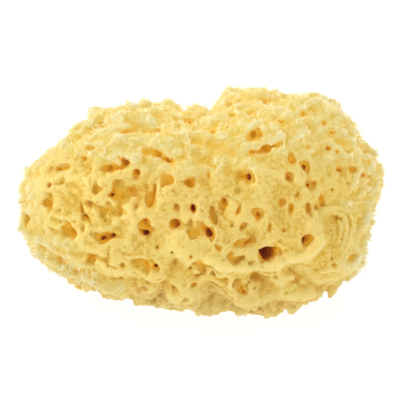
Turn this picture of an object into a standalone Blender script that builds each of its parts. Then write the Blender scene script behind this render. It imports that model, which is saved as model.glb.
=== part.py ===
"""A natural sea sponge of the honeycomb kind, washed and dried: one piece that grew as one.

The body is a bun. Its outline, as seen from the front and a little above, is a smooth closed curve, and its
front and back are rounded off from that curve. Broad swells and hollows are added to it, the fleece that covers
all but the front face is drawn out into points, the underside is pressed flat where the sponge lies, and the
pores and hollows are cut out of the front, the top, the ends and the back.

Lengths are in millimetres until a mesh is made, and then in metres. X runs to the right, Y away from the viewer
and Z up. The origin is under the middle of the sponge, on the surface that it lies on.
"""

import math

import bmesh
import bpy
import numpy as np
from mathutils import Matrix, Vector

METRES = 0.001

# The plane of the outline leans back by this angle, and the viewer looks square at it from this distance.
LEAN = math.radians(20)
VIEW_DISTANCE = 550.0

# The body's middle lies this far above the surface.
MIDDLE_HEIGHT = 43.0

# The outline's radius from the middle every 15 degrees, anticlockwise from the right-hand end.
OUTLINE = (
    70.0, 74.0, 66.5, 60.0, 49.5, 43.5,
    38.5, 39.0, 44.5, 51.5, 57.0, 67.0,
    73.0, 71.0, 61.0, 53.0, 47.0, 46.0,
    44.5, 48.0, 54.0, 59.5, 68.5, 69.5,
)

# How far the body reaches in front of the outline's plane and behind it, and how square its shoulders are.
FRONT_DEPTH = 48.0
BACK_DEPTH = 54.0
SQUARENESS = 2.3

# Swells (above 0) and dips (below 0): a direction as (right, up, towards the viewer), the height, and the
# spread in degrees.
SWELLS = (
    ("knob at the top", (0.38, 0.91, -0.16), 7.0, 13),
    ("knob at the top right", (0.72, 0.68, -0.12), 2.5, 12),
    ("saddle between the halves of the top", (0.10, 0.96, -0.25), -3.0, 12),
    ("left shoulder", (-0.62, 0.74, 0.20), 2.0, 22),
    ("shelf behind the top of the face", (0.00, 0.78, 0.62), -4.5, 30),
    ("lip along the top of the face, left", (-0.55, 0.38, 0.74), 2.5, 16),
    ("lip along the top of the face, right", (0.45, 0.40, 0.80), 2.0, 18),
    ("belly of the face", (-0.10, -0.35, 0.93), 2.0, 26),
    ("right-hand lobe of the face", (0.72, -0.20, 0.66), 3.0, 17),
    ("fold under the right-hand lobe", (0.50, -0.60, 0.62), -2.5, 12),
    ("heel, left", (-0.40, -0.75, -0.52), 6.0, 24),
    ("heel, right", (0.45, -0.75, -0.50), 7.0, 24),
    ("back hump", (-0.35, 0.35, -0.87), 3.5, 24),
    ("back hollow", (0.30, 0.10, -0.95), -3.0, 18),
)

# Uneven growth: the sum of this many slow waves through the body, and how high they reach.
GROWTH_WAVES = 26
GROWTH_LENGTHS = (15.0, 34.0)
GROWTH_HEIGHT = 1.5

# The rim of the flat underside is rounded over this much of the radius.
SEAT_ROUNDING = 5.0

# Fleece: this share of the points of the skin is drawn out and the rest is let in, by these heights at the
# ends. Nearer the middle the points lie closer together, and the heights are less in proportion.
TUFT_SHARE = 0.34
TUFT_HEIGHTS = (0.8, 2.4)
TUFT_VALLEY = 0.7
SKIN_DIVISIONS = 5

# The open face reaches this far from the line of sight, as a share of the outline, before the fleece begins.
FACE_TOP = 0.26
FACE_REACH = 0.86

# Pores and hollows as seen from the front: right, up, width, height, depth, and lean in degrees anticlockwise.
FRONT_PITS = (
    (-23.0, -11.8, 6.0, 7.4, 10, 0),
    (-10.0, -9.8, 5.4, 4.6, 10, 0),
    (-2.9, -3.3, 2.4, 3.4, 9, 15),
    (2.8, -13.4, 8.6, 4.2, 10, -40),
    (9.7, -1.2, 3.4, 5.4, 8, 0),
    (23.8, -5.8, 4.2, 4.6, 8, 0),
    (28.2, -21.2, 8.4, 6.2, 12, -6),
    (18.8, -17.8, 8.6, 3.6, 5, 8),
    (15.2, -25.0, 5.6, 4.2, 6, 10),
    (22.9, -30.8, 5.2, 3.6, 8, 0),
    (16.6, -36.6, 6.0, 6.0, 5, 0),
    (0.4, -29.4, 11.0, 9.2, 4, 10),
    (-24.8, -27.6, 11.0, 7.2, 4, 0),
    (-12.4, -37.0, 5.6, 5.8, 4, 0),
    (-20.9, 1.0, 4.6, 11.6, 6, 8),
    (-13.3, 8.4, 5.4, 5.0, 5, 0),
    (-4.4, 7.2, 5.8, 5.4, 5, 0),
    (17.5, 10.3, 8.4, 5.0, 7, -12),
    (-54.3, -13.0, 7.0, 6.2, 9, -15),
    (-39.8, -15.6, 8.4, 4.0, 6, 8),
    (-46.2, -23.8, 7.0, 3.8, 7, -15),
    (-63.0, -0.8, 6.4, 7.0, 5, 20),
    (-48.9, -3.9, 1.8, 5.2, 7, 10),
    (-39.3, -4.4, 14.0, 6.0, 4, 0),
    (-33.0, 2.4, 7.0, 9.6, 5, 15),
    (-57.2, -24.9, 4.6, 4.6, 4, 0),
    (44.9, -16.1, 5.4, 4.8, 8, 15),
    (45.2, -3.7, 3.2, 7.4, 6, 10),
    (36.8, 9.5, 3.2, 4.8, 7, 10),
    (43.4, 14.4, 3.8, 4.8, 8, 0),
    (38.1, 16.8, 3.8, 4.8, 6, 0),
    (63.2, -23.7, 4.6, 5.4, 5, 0),
    (52.0, -33.2, 4.6, 2.8, 6, 25),
    (40.5, -33.7, 5.4, 2.6, 4, 20),
    (-14.2, 16.9, 8.0, 3.4, 7, -20),
    (-30.7, 15.5, 4.8, 3.2, 7, -15),
    (-58.2, 13.2, 7.4, 3.4, 7, 0),
    (-38.5, 13.2, 7.4, 3.2, 5, 10),
    (22.6, 27.3, 5.4, 4.2, 8, 0),
    (27.8, 21.0, 4.4, 4.4, 6, 20),
    (-1.6, 24.8, 5.0, 3.8, 6, 0),
    (-28.7, 28.8, 7.6, 2.4, 5, 5),
    (63.5, 12.5, 3.6, 3.0, 5, -20),
)

# A pore smaller than this across has the fewest faces.
SMALL_PORE = 5.8

# Outlets where the front view doesn't reach: those of a spiral over the whole body that face away from the
# viewer by at least this share of their direction. Their heights are given as shares of their widths.
SPIRAL_STEPS = 84
FACING_AWAY = 0.12
HIDDEN_WIDTHS = (3.6, 8.4)
HIDDEN_SHAPES = (0.75, 1.1)
HIDDEN_DEPTHS = (5.0, 11.0)

# Pores and fleece keep this far above the surface that the sponge lies on.
SEAT_CLEARANCE = 9.0

# How many times the search for the skin along a line of sight halves its stretch.
HALVINGS = 30


def frame_of(right, up, near):
    """A place given as right, up and towards the viewer in the leaning frame, as X, Y and Z."""
    return np.stack([
        right,
        up * math.sin(LEAN) - near * math.cos(LEAN),
        up * math.cos(LEAN) + near * math.sin(LEAN),
    ], axis=-1)


def leaning_of(directions):
    """The other way round: directions in X, Y and Z as right, up and towards the viewer."""
    x, y, z = np.moveaxis(directions, -1, 0)
    return x, y * math.sin(LEAN) + z * math.cos(LEAN), -y * math.cos(LEAN) + z * math.sin(LEAN)


def outline_radius(angle):
    """The outline at any angle: the closed curve with the fewest waves through OUTLINE's points."""
    waves = np.fft.rfft(OUTLINE) / len(OUTLINE)
    waves[1:-1] *= 2
    orders = np.arange(len(waves))
    return (waves * np.exp(1j * np.multiply.outer(angle, orders))).real.sum(axis=-1)


def growth(directions):
    """Slow unevenness, from waves of random direction and length across a sphere of the body's size."""
    random = np.random.default_rng(11)
    facing = random.normal(size=(GROWTH_WAVES, 3))
    facing /= np.linalg.norm(facing, axis=1, keepdims=True)
    lengths = random.uniform(*GROWTH_LENGTHS, GROWTH_WAVES)
    starts = random.uniform(0, 2 * math.pi, GROWTH_WAVES)
    along = directions @ facing.T * max(OUTLINE)
    waves = np.sin(2 * math.pi * along / lengths + starts)
    return GROWTH_HEIGHT * waves.sum(axis=-1) / math.sqrt(GROWTH_WAVES / 2)


def smaller_of(a, b, rounding):
    """The smaller of two lengths, with the corner between them rounded off."""
    near = np.clip(rounding - np.abs(a - b), 0, None) / rounding
    return np.minimum(a, b) - near**2 * rounding / 4


def body_radius(directions):
    """From the middle to the skin: a rounded form on the outline, its swells, and the flat seat."""
    right, up, near = leaning_of(directions)
    across = np.hypot(right, up)
    outline = outline_radius(np.arctan2(up, right))
    depth = np.where(near > 0, FRONT_DEPTH, BACK_DEPTH)
    squared = (across / outline) ** SQUARENESS + (np.abs(near) / depth) ** SQUARENESS
    radius = squared ** (-1 / SQUARENESS)
    for _, place, height, spread in SWELLS:
        place = np.array(place) / np.linalg.norm(place)
        cosine = right * place[0] + up * place[1] + near * place[2]
        radius = radius + height * np.exp((cosine - 1) / (1 - math.cos(math.radians(spread))))
    radius = radius + growth(directions)
    to_seat = MIDDLE_HEIGHT / np.clip(-directions[..., 2], 1e-3, None)
    return smaller_of(radius, to_seat, SEAT_ROUNDING)


def on_open_face(directions):
    """True on the front face, where the channels lie open and there is no fleece."""
    right, up, near = leaning_of(directions)
    outline = outline_radius(np.arctan2(up, right))
    radius = body_radius(directions)
    share = np.hypot(right, up) * radius / outline
    return (near > 0) & (share < FACE_REACH) & (up < FACE_TOP)


def seen_at(right, up):
    """The direction of the point of the skin that the viewer sees at this place on the outline's plane."""
    low, high = 0.0, max(OUTLINE)
    for _ in range(HALVINGS):
        near = (low + high) / 2
        towards = 1 - near / VIEW_DISTANCE
        place = frame_of(right * towards, up * towards, near)
        distance = np.linalg.norm(place)
        if distance < body_radius(place / distance):
            low = near
        else:
            high = near
    return place / distance


def spiral_direction(step, steps):
    """The directions of a golden-angle spiral, which spread evenly over a sphere."""
    height = -1 + 2 * (step + 0.5) / steps
    turn = step * math.pi * (3 - math.sqrt(5))
    level = math.sqrt(1 - height**2)
    return np.array([level * math.cos(turn), level * math.sin(turn), height])


def hidden_pits():
    """Direction, width, height, depth and lean of each outlet on the back, the ends and the back of the top."""
    random = np.random.default_rng(5)
    for step in range(SPIRAL_STEPS):
        direction = spiral_direction(step, SPIRAL_STEPS)
        width = random.uniform(*HIDDEN_WIDTHS)
        height = width * random.uniform(*HIDDEN_SHAPES)
        depth = random.uniform(*HIDDEN_DEPTHS)
        lean = random.uniform(0, 180)
        above_seat = MIDDLE_HEIGHT + direction[2] * body_radius(direction)
        if leaning_of(direction)[2] < -FACING_AWAY and above_seat > SEAT_CLEARANCE:
            yield direction, width, height, depth, lean


def new_object(name, mesh_builder, collection):
    """An object in the collection from what mesh_builder does to an empty bmesh."""
    mesh = bpy.data.meshes.new(name)
    shape = bmesh.new()
    mesh_builder(shape)
    shape.to_mesh(mesh)
    shape.free()
    made = bpy.data.objects.new(name, mesh)
    collection.objects.link(made)
    return made


def body_shape(shape):
    """A ball of near-equal triangles, each point moved along its own radius out to the skin."""
    bmesh.ops.create_icosphere(shape, subdivisions=SKIN_DIVISIONS, radius=1)
    directions = np.array([vertex.co.normalized() for vertex in shape.verts])
    radius = body_radius(directions)
    random = np.random.default_rng(3)
    drawn_out = random.random(len(directions)) < TUFT_SHARE
    tuft = np.where(drawn_out, random.uniform(*TUFT_HEIGHTS, len(directions)), -TUFT_VALLEY)
    height = MIDDLE_HEIGHT + directions[:, 2] * radius
    fleece = ~on_open_face(directions) & (height > SEAT_CLEARANCE)
    radius = radius + np.where(fleece, tuft * radius / max(OUTLINE), 0)
    places = directions * radius[:, None] + (0, 0, MIDDLE_HEIGHT)
    places[places[:, 2] < 1e-4, 2] = 0
    for vertex, place in zip(shape.verts, places):
        vertex.co = place * METRES


def pit_cutter(name, direction, width, height, depth, lean, collection):
    """A blunt spindle, as wide as the pore at the skin, that runs inwards along the radius."""
    def spindle(shape):
        divisions = 1 if max(width, height) < SMALL_PORE else 2
        bmesh.ops.create_icosphere(shape, subdivisions=divisions, radius=1)
        for vertex in shape.verts:
            vertex.co = vertex.co * Vector((width / 2, height / 2, depth)) * METRES

    cutter = new_object(name, spindle, collection)
    inwards = -Vector(direction)
    sideways = Vector((1, 0, 0))
    across = (sideways - inwards * sideways.dot(inwards)).normalized()
    upwards = inwards.cross(across)
    if upwards.z < 0:
        upwards = -upwards
        across = upwards.cross(inwards)
    turned = Matrix((across, upwards, across.cross(upwards))).transposed()
    spin = Matrix.Rotation(math.radians(lean), 3, "Z")
    place = Vector(direction * body_radius(direction) + (0, 0, MIDDLE_HEIGHT)) * METRES
    cutter.matrix_world = Matrix.Translation(place) @ (turned @ spin).to_4x4()
    cutter.hide_render = True
    cutter.display_type = "WIRE"
    return cutter


def sponge_material():
    """Soft, dull, pale golden yellow."""
    material = bpy.data.materials.new("sponge_fibre")
    material.use_nodes = True
    shader = material.node_tree.nodes["Principled BSDF"]
    shader.inputs["Base Color"].default_value = (0.86, 0.66, 0.22, 1)
    shader.inputs["Roughness"].default_value = 0.9
    shader.inputs["Metallic"].default_value = 0
    return material


def new_collection(name):
    collection = bpy.data.collections.new(name)
    bpy.context.scene.collection.children.link(collection)
    return collection


def main():
    for old in list(bpy.data.objects):
        bpy.data.objects.remove(old)
    parts = new_collection("sea_sponge")
    cutters = new_collection("cutters")

    sponge = new_object("sponge", body_shape, parts)
    sponge.data.materials.append(sponge_material())
    sponge.data.shade_smooth()

    for number, (right, up, width, height, depth, lean) in enumerate(FRONT_PITS):
        pit_cutter(f"pore_{number:02d}", seen_at(right, up), width, height, depth, lean, cutters)
    for number, pit in enumerate(hidden_pits()):
        pit_cutter(f"outlet_{number:02d}", *pit, cutters)

    cut = sponge.modifiers.new("pores", "BOOLEAN")
    cut.operation = "DIFFERENCE"
    cut.operand_type = "COLLECTION"
    cut.collection = cutters
    cut.solver = "EXACT"


main()
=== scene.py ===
# %% [markdown]
# # A honeycomb sea sponge
#
# This lesson dresses a plain solid of a washed and dried sea sponge. The solid says where the sponge is and
# how big it is. Here it gets the web of soft ridges round its pores, the fleece on its top, back and ends,
# and a colour with painted shade that deepens from cream on the ridges to burnt orange in the channels.

import math

import bpy
import numpy as np
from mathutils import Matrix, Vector


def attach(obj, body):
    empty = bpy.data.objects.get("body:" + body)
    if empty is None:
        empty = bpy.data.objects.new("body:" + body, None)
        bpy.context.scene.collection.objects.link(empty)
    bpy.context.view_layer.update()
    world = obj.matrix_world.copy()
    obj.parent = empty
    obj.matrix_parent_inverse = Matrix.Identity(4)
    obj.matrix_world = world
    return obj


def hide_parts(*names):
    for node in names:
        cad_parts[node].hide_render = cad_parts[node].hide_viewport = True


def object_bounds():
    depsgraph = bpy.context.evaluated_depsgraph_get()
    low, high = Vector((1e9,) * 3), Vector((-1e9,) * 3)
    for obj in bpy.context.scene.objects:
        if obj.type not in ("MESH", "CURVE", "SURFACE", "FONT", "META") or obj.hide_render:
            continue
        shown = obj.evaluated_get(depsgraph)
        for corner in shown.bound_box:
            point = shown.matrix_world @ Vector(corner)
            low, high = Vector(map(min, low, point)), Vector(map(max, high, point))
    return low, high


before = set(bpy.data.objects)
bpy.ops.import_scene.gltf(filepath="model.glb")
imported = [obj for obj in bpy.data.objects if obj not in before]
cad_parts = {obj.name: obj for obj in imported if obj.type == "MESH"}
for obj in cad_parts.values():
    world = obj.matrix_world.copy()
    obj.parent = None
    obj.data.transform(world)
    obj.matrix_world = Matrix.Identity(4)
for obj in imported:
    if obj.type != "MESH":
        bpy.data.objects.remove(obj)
solid_low, solid_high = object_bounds()
print("solid from", [round(v, 4) for v in solid_low], "to", [round(v, 4) for v in solid_high])

METRES = 0.001
DETAIL_CELL = 0.62

# %% [markdown]
# The photograph looks down at the sponge a little. Places on its front are easiest to read off as right, up
# and towards the viewer, in a frame that leans back with the line of sight. Two small functions turn that
# leaning frame into X, Y and Z and back. Lengths are in millimetres until a mesh is made, and places are
# measured from the sponge's middle.

# %% The leaning frame of the viewer
LEAN = math.radians(20)
VIEW_DISTANCE = 550.0
MIDDLE_HEIGHT = 43.0


def frame_of(right, up, near):
    """X is right; Y is up times sin(lean) less near times cos(lean); Z is the other way round."""
    return np.stack([
        right,
        up * math.sin(LEAN) - near * math.cos(LEAN),
        up * math.cos(LEAN) + near * math.sin(LEAN),
    ], axis=-1)


def leaning_of(points):
    """Right is X; up is Y times sin(lean) plus Z times cos(lean); near is Z times sin less Y times cos."""
    x, y, z = np.moveaxis(points, -1, 0)
    return x, y * math.sin(LEAN) + z * math.cos(LEAN), -y * math.cos(LEAN) + z * math.sin(LEAN)


viewer = frame_of(0, 0, VIEW_DISTANCE)
print("the viewer, from the sponge's middle", viewer.round(), "mm")

# %% [markdown]
# The body is a bun. A closed curve gives its outline as the viewer sees it. The front and back are rounded
# off from that curve, and broad swells and dips are added where the sponge grew more or less. It could be
# sculpted by hand, but one formula for the distance from the middle to the skin in any direction is easier
# to change, and it is the formula that the solid was made with.

# %% The outline
# Distances from the middle, every 15 degrees, anticlockwise from the right-hand end.
OUTLINE = (
    70.0, 74.0, 66.5, 60.0, 49.5, 43.5,
    38.5, 39.0, 44.5, 51.5, 57.0, 67.0,
    73.0, 71.0, 61.0, 53.0, 47.0, 46.0,
    44.5, 48.0, 54.0, 59.5, 68.5, 69.5,
)


def outline_radius(angle):
    """The closed curve with the fewest waves through OUTLINE's points, which are 15 degrees apart."""
    waves = np.fft.rfft(OUTLINE) / len(OUTLINE)
    waves[1:-1] *= 2
    orders = np.arange(len(waves))
    return (waves * np.exp(1j * np.multiply.outer(angle, orders))).real.sum(axis=-1)


print("outline from", min(OUTLINE), "to", max(OUTLINE), "mm from the middle")

# %% Swells and dips
# Each is a name, a direction as right, up and near, a height, and a spread in degrees.
SWELLS = (
    ("knob at the top", (0.38, 0.91, -0.16), 7.0, 13),
    ("knob at the top right", (0.72, 0.68, -0.12), 2.5, 12),
    ("saddle between the halves of the top", (0.10, 0.96, -0.25), -3.0, 12),
    ("left shoulder", (-0.62, 0.74, 0.20), 2.0, 22),
    ("shelf behind the top of the face", (0.00, 0.78, 0.62), -4.5, 30),
    ("lip along the top of the face, left", (-0.55, 0.38, 0.74), 2.5, 16),
    ("lip along the top of the face, right", (0.45, 0.40, 0.80), 2.0, 18),
    ("belly of the face", (-0.10, -0.35, 0.93), 2.0, 26),
    ("right-hand lobe of the face", (0.72, -0.20, 0.66), 3.0, 17),
    ("fold under the right-hand lobe", (0.50, -0.60, 0.62), -2.5, 12),
    ("heel, left", (-0.40, -0.75, -0.52), 6.0, 24),
    ("heel, right", (0.45, -0.75, -0.50), 7.0, 24),
    ("back hump", (-0.35, 0.35, -0.87), 3.5, 24),
    ("back hollow", (0.30, 0.10, -0.95), -3.0, 18),
)
print("swells and dips", len(SWELLS))

# %% Slow growth
GROWTH_WAVES = 26
GROWTH_LENGTHS = (15.0, 34.0)
GROWTH_HEIGHT = 1.5
GROWTH_SEED = 11


def growth(directions):
    """The sum of slow sine waves of random direction and length across a sphere of the body's size."""
    random = np.random.default_rng(GROWTH_SEED)
    facing = random.normal(size=(GROWTH_WAVES, 3))
    facing /= np.linalg.norm(facing, axis=1, keepdims=True)
    lengths = random.uniform(*GROWTH_LENGTHS, GROWTH_WAVES)
    starts = random.uniform(0, 2 * math.pi, GROWTH_WAVES)
    along = directions @ facing.T * max(OUTLINE)
    waves = np.sin(2 * math.pi * along / lengths + starts)
    return GROWTH_HEIGHT * waves.sum(axis=-1) / math.sqrt(GROWTH_WAVES / 2)


print("growth at the two ends", growth(np.array([[-1.0, 0, 0], [1.0, 0, 0]])).round(2), "mm")

# %% The skin in any direction
FRONT_DEPTH = 48.0
BACK_DEPTH = 54.0
SQUARENESS = 2.3
SEAT_ROUNDING = 5.0
LEAST_FALL = 1e-3


def smaller_of(a, b, rounding):
    """The smaller of two lengths, less a quarter of the rounding where they meet, so corners are round."""
    near = np.clip(rounding - np.abs(a - b), 0, None) / rounding
    return np.minimum(a, b) - near**2 * rounding / 4


def body_radius(directions):
    """A superellipsoid between the outline and the depths, plus bell-shaped swells, cut flat at the seat."""
    right, up, near = leaning_of(directions)
    across = np.hypot(right, up)
    outline = outline_radius(np.arctan2(up, right))
    depth = np.where(near > 0, FRONT_DEPTH, BACK_DEPTH)
    squared = (across / outline) ** SQUARENESS + (np.abs(near) / depth) ** SQUARENESS
    radius = squared ** (-1 / SQUARENESS)
    for _, place, height, spread in SWELLS:
        place = np.array(place) / np.linalg.norm(place)
        cosine = right * place[0] + up * place[1] + near * place[2]
        radius = radius + height * np.exp((cosine - 1) / (1 - math.cos(math.radians(spread))))
    radius = radius + growth(directions)
    to_seat = MIDDLE_HEIGHT / np.clip(-directions[..., 2], LEAST_FALL, None)
    return smaller_of(radius, to_seat, SEAT_ROUNDING)


print("front and back", [float(body_radius(frame_of(0, 0, near)).round(1)) for near in (1.0, -1.0)], "mm")

# %% [markdown]
# Pores, tunnels and hollows overhang, and small holes open into the walls of large ones. A sheet pushed in
# and out can't do that. So the sponge is first a block of small cells, each with a number: how far inside
# the fibre it is, in millimetres, with a minus sign where it is in the open. Every form below only changes
# that number, and at the end a surface is drawn where it is nought.
#
# The distance to the skin is worked out once for a table of directions and looked up for each cell.

# %% A table of the distance to the skin
TABLE_ROWS = 400
HAIR = 1e-6


def skin_table():
    """The body's radius on a grid of polar angle by azimuth."""
    polar = np.linspace(0, math.pi, TABLE_ROWS)[:, None]
    azimuth = np.linspace(-math.pi, math.pi, 2 * TABLE_ROWS)[None, :]
    level = np.sin(polar)
    x, y, z = level * np.cos(azimuth), level * np.sin(azimuth), np.cos(polar) + 0 * azimuth
    return body_radius(np.stack([x, y, z], axis=-1)).astype(np.float32)


def look_up(table, rows, columns):
    """Each place between four entries of a table gets their mean, weighted by nearness."""
    row = np.clip(rows.astype(np.int32), 0, table.shape[0] - 2)
    column = np.clip(columns.astype(np.int32), 0, table.shape[1] - 2)
    down, along = rows - row, columns - column
    upper = table[row, column] * (1 - along) + table[row, column + 1] * along
    lower = table[row + 1, column] * (1 - along) + table[row + 1, column + 1] * along
    return upper * (1 - down) + lower * down


radius_table = skin_table()


def depth_under_skin(points):
    """Table radius in the point's direction, less the point's distance from the middle."""
    x, y, z = points[..., 0], points[..., 1], points[..., 2]
    distance = np.sqrt(x * x + y * y + z * z) + HAIR
    rows = np.arccos(np.clip(z / distance, -1, 1)) * ((TABLE_ROWS - 1) / math.pi)
    columns = (np.arctan2(y, x) + math.pi) * ((2 * TABLE_ROWS - 1) / (2 * math.pi))
    return look_up(radius_table, rows, columns) - distance


print("skin from", radius_table.min(), "to", radius_table.max(), "mm from the middle")

# %% The block of cells and each cell's depth under the skin
MARGIN = 4.5
FAR_OFF = 9

middle = np.array([0, 0, MIDDLE_HEIGHT])
block_low = np.array(solid_low) / METRES - middle - MARGIN
block_high = np.array(solid_high) / METRES - middle + MARGIN
axes = [np.arange(low, high, DETAIL_CELL, dtype=np.float32) for low, high in zip(block_low, block_high)]
cell_places = np.stack(np.meshgrid(*axes, indexing="ij"), axis=-1)
skin_depth = depth_under_skin(cell_places)
fibre = skin_depth.copy()
to_pore = np.full_like(fibre, FAR_OFF)
print("cells", fibre.shape, "of", DETAIL_CELL, "mm")

# %% [markdown]
# Two kinds of unevenness are used all over. Waves are smooth and slow: a sum of sine waves that run in all
# directions. Cells are like froth: points are scattered, and every place belongs to the nearest one. The
# difference between the distances to the nearest and the second nearest point is nought on the walls of the
# froth and large in the middle of a bubble, which is how a sponge's webs and hollows lie.

# %% Waves
def waves(points, lengths, count, seed):
    """The sum of count sines of random direction, length and start, scaled to a spread of about 1."""
    random = np.random.default_rng(seed)
    total = np.zeros(points.shape[:-1], np.float32)
    for _ in range(count):
        facing = random.normal(size=3)
        facing *= 2 * math.pi / random.uniform(*lengths) / np.linalg.norm(facing)
        total += np.sin(points @ facing.astype(np.float32) + np.float32(random.uniform(0, 2 * math.pi)))
    return total / math.sqrt(count / 2)


# %% Froth
FROTH_TABLE = 32
NEIGHBOURS = [(i, j, k) for i in (-1, 0, 1) for j in (-1, 0, 1) for k in (-1, 0, 1)]


def froth(points, size, seed):
    """The distance to the nearest scattered point, how much further away the second nearest is, the nearest
    one's lot, which is a random share of its own, and the way to it. The distances are in bubbles."""
    random = np.random.default_rng(seed)
    scattered = random.random((FROTH_TABLE ** 3, 3), dtype=np.float32)
    lots = random.random(FROTH_TABLE ** 3, dtype=np.float32)
    size = np.asarray(size, np.float32)
    places = points / size
    corner = np.floor(places).astype(np.int32)
    inner = places - corner

    def scattered_near(step):
        """The number of the point in the cell that is this step away, and the way to it in bubbles."""
        wrapped = (corner + step) % FROTH_TABLE
        number = (wrapped[:, 0] * FROTH_TABLE + wrapped[:, 1]) * FROTH_TABLE + wrapped[:, 2]
        return number, scattered[number] + np.asarray(step, np.float32) - inner

    nearest = np.full(len(points), FAR_OFF, np.float32)
    second = nearest.copy()
    owner = np.zeros(len(points), np.int8)
    for index, step in enumerate(NEIGHBOURS):
        _, offset = scattered_near(step)
        distance = np.sqrt(np.einsum("ij,ij->i", offset, offset))
        closer = distance < nearest
        second = np.where(closer, nearest, np.minimum(second, distance))
        owner = np.where(closer, np.int8(index), owner)
        nearest = np.minimum(nearest, distance)
    number, offset = scattered_near(np.array(NEIGHBOURS, np.int32)[owner])
    return nearest, second - nearest, lots[number], offset * size


WAVES_IN_A_BEND = 6


def bent_froth(points, size, amount, lengths, seed):
    """Froth round points that are first moved along X, Y and Z by their own slow waves."""
    moved = np.stack([waves(points, lengths, WAVES_IN_A_BEND, seed + i) for i in range(3)], axis=-1)
    return froth(points + amount * moved, size, seed + 1)


# %% A soft step
def ease(value, low, high):
    """0 below low, 1 above high, and an S-shaped curve between."""
    share = np.clip((value - low) / (high - low), 0, 1)
    return share * share * (3 - 2 * share)


# %% [markdown]
# The sponge has two kinds of skin. The face towards the viewer, and the underside where it was cut from the
# rock, are open: soft smooth webs with pores between them. The top, the back and the ends are covered with
# fleece. The border between them is given as the viewer sees it, and it wanders a little.

# %% Where the face is and where the fleece is
FACE_TOP = 13.5
FACE_RIGHT = 63.0
FACE_LEFT = -68.0
FACE_CORNER = 63.6
CORNER_SLOPE = 0.81
TOP_WAVE = 2.0
TOP_WAVE_LENGTH = 17.0
UNDERSIDE_SLOPE = 0.55
BORDER = 5.0
ROUND_BORDER = 6.0
BORDER_WANDER = 2.5
RELIEF_BAND = (-MARGIN, 7.0)


def seen_at(points):
    """Right and up on the plane of the outline, where the line of sight through the point crosses it."""
    right, up, near = leaning_of(points)
    spread = VIEW_DISTANCE / (VIEW_DISTANCE - near)
    return right * spread, up * spread, near


def openness(points):
    """1 on the open face and the underside, 0 in the fleece, and between the two along the border."""
    right, up, near = seen_at(points)
    wander = BORDER_WANDER * waves(points, lengths=(14.0, 30.0), count=8, seed=21)
    top = ease(FACE_TOP + wander + TOP_WAVE * np.sin(right / TOP_WAVE_LENGTH) - up, -BORDER, BORDER)
    right_hand = ease(FACE_RIGHT + wander - right, -BORDER, BORDER)
    left_hand = ease(right + wander - FACE_LEFT, -BORDER, BORDER)
    corner = ease(up + CORNER_SLOPE * right + FACE_CORNER + wander, -BORDER, BORDER)
    front = ease(near, -ROUND_BORDER, ROUND_BORDER) * corner
    lowness = -points[:, 2] - UNDERSIDE_SLOPE * np.linalg.norm(points[:, :2], axis=1)
    beneath = ease(lowness, -ROUND_BORDER, ROUND_BORDER)
    return np.maximum(top * right_hand * left_hand * front, beneath)


in_relief = (skin_depth > RELIEF_BAND[0]) & (skin_depth < RELIEF_BAND[1])
near_skin = cell_places[in_relief]
open_share = openness(near_skin)
print("cells near the skin", len(near_skin))

# %% [markdown]
# On the open face the webs round the channels are rounded ridges 1 to 2 mm wide, with shallow hollows
# between them. Froth gives both. The froth is bent first by slow waves, so that no wall is straight, and it
# is deeper on the left than in the middle, as the photograph shows.

# %% Webs and hollows of the open face
WEB_BUBBLE = (7.2, 8.0, 5.6)
WEB_SLOPE = (0.0, 0.7)
HOLLOW_DEPTH = 1.0
HOLLOWS_EVERYWHERE = 0.35
HOLLOWS_ON_THE_LEFT = 0.85
HOLLOWS_BY_LOT = 0.9
LEFT_PART = (10, 35)
CALM_PLACE = (4, -10)
CALM_REACH = (24, 14)
CALM_SHARE = 0.6
SMALL_BUBBLE = 3.1
SMALL_SLOPE = (0.02, 0.42)
SMALL_LOTS = (0.3, 0.8)
SMALL_DEPTH = 0.35


def face_relief(points):
    """How far the open face is let in: deep in the middle of bubbles, nought on their walls."""
    right, up, _ = seen_at(points)
    _, gap, lot, _ = bent_froth(points, WEB_BUBBLE, amount=1.5, lengths=(7.0, 18.0), seed=31)
    left = ease(-right, *LEFT_PART)
    calm_right = (right - CALM_PLACE[0]) / CALM_REACH[0]
    calm_up = (up - CALM_PLACE[1]) / CALM_REACH[1]
    calm = np.exp(-calm_right ** 2 - calm_up ** 2)
    shares = HOLLOWS_EVERYWHERE + HOLLOWS_ON_THE_LEFT * left + HOLLOWS_BY_LOT * lot
    depth = HOLLOW_DEPTH * shares * (1 - CALM_SHARE * calm)
    _, small_gap, small_lot, _ = bent_froth(points, SMALL_BUBBLE, amount=0.5, lengths=(4.0, 8.0), seed=41)
    dimple = ease(small_gap, *SMALL_SLOPE) * ease(small_lot, *SMALL_LOTS)
    return depth * ease(gap, *WEB_SLOPE) + SMALL_DEPTH * dimple


# %% [markdown]
# Each fold on the face is a line drawn as the viewer sees it. The skin swells along it, or sinks along a
# groove, in the shape of a bell across the line. The right-hand lobe grew in steps, so its outer ridge is
# repeated inside, each time a little nearer to the lobe's middle.

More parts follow.
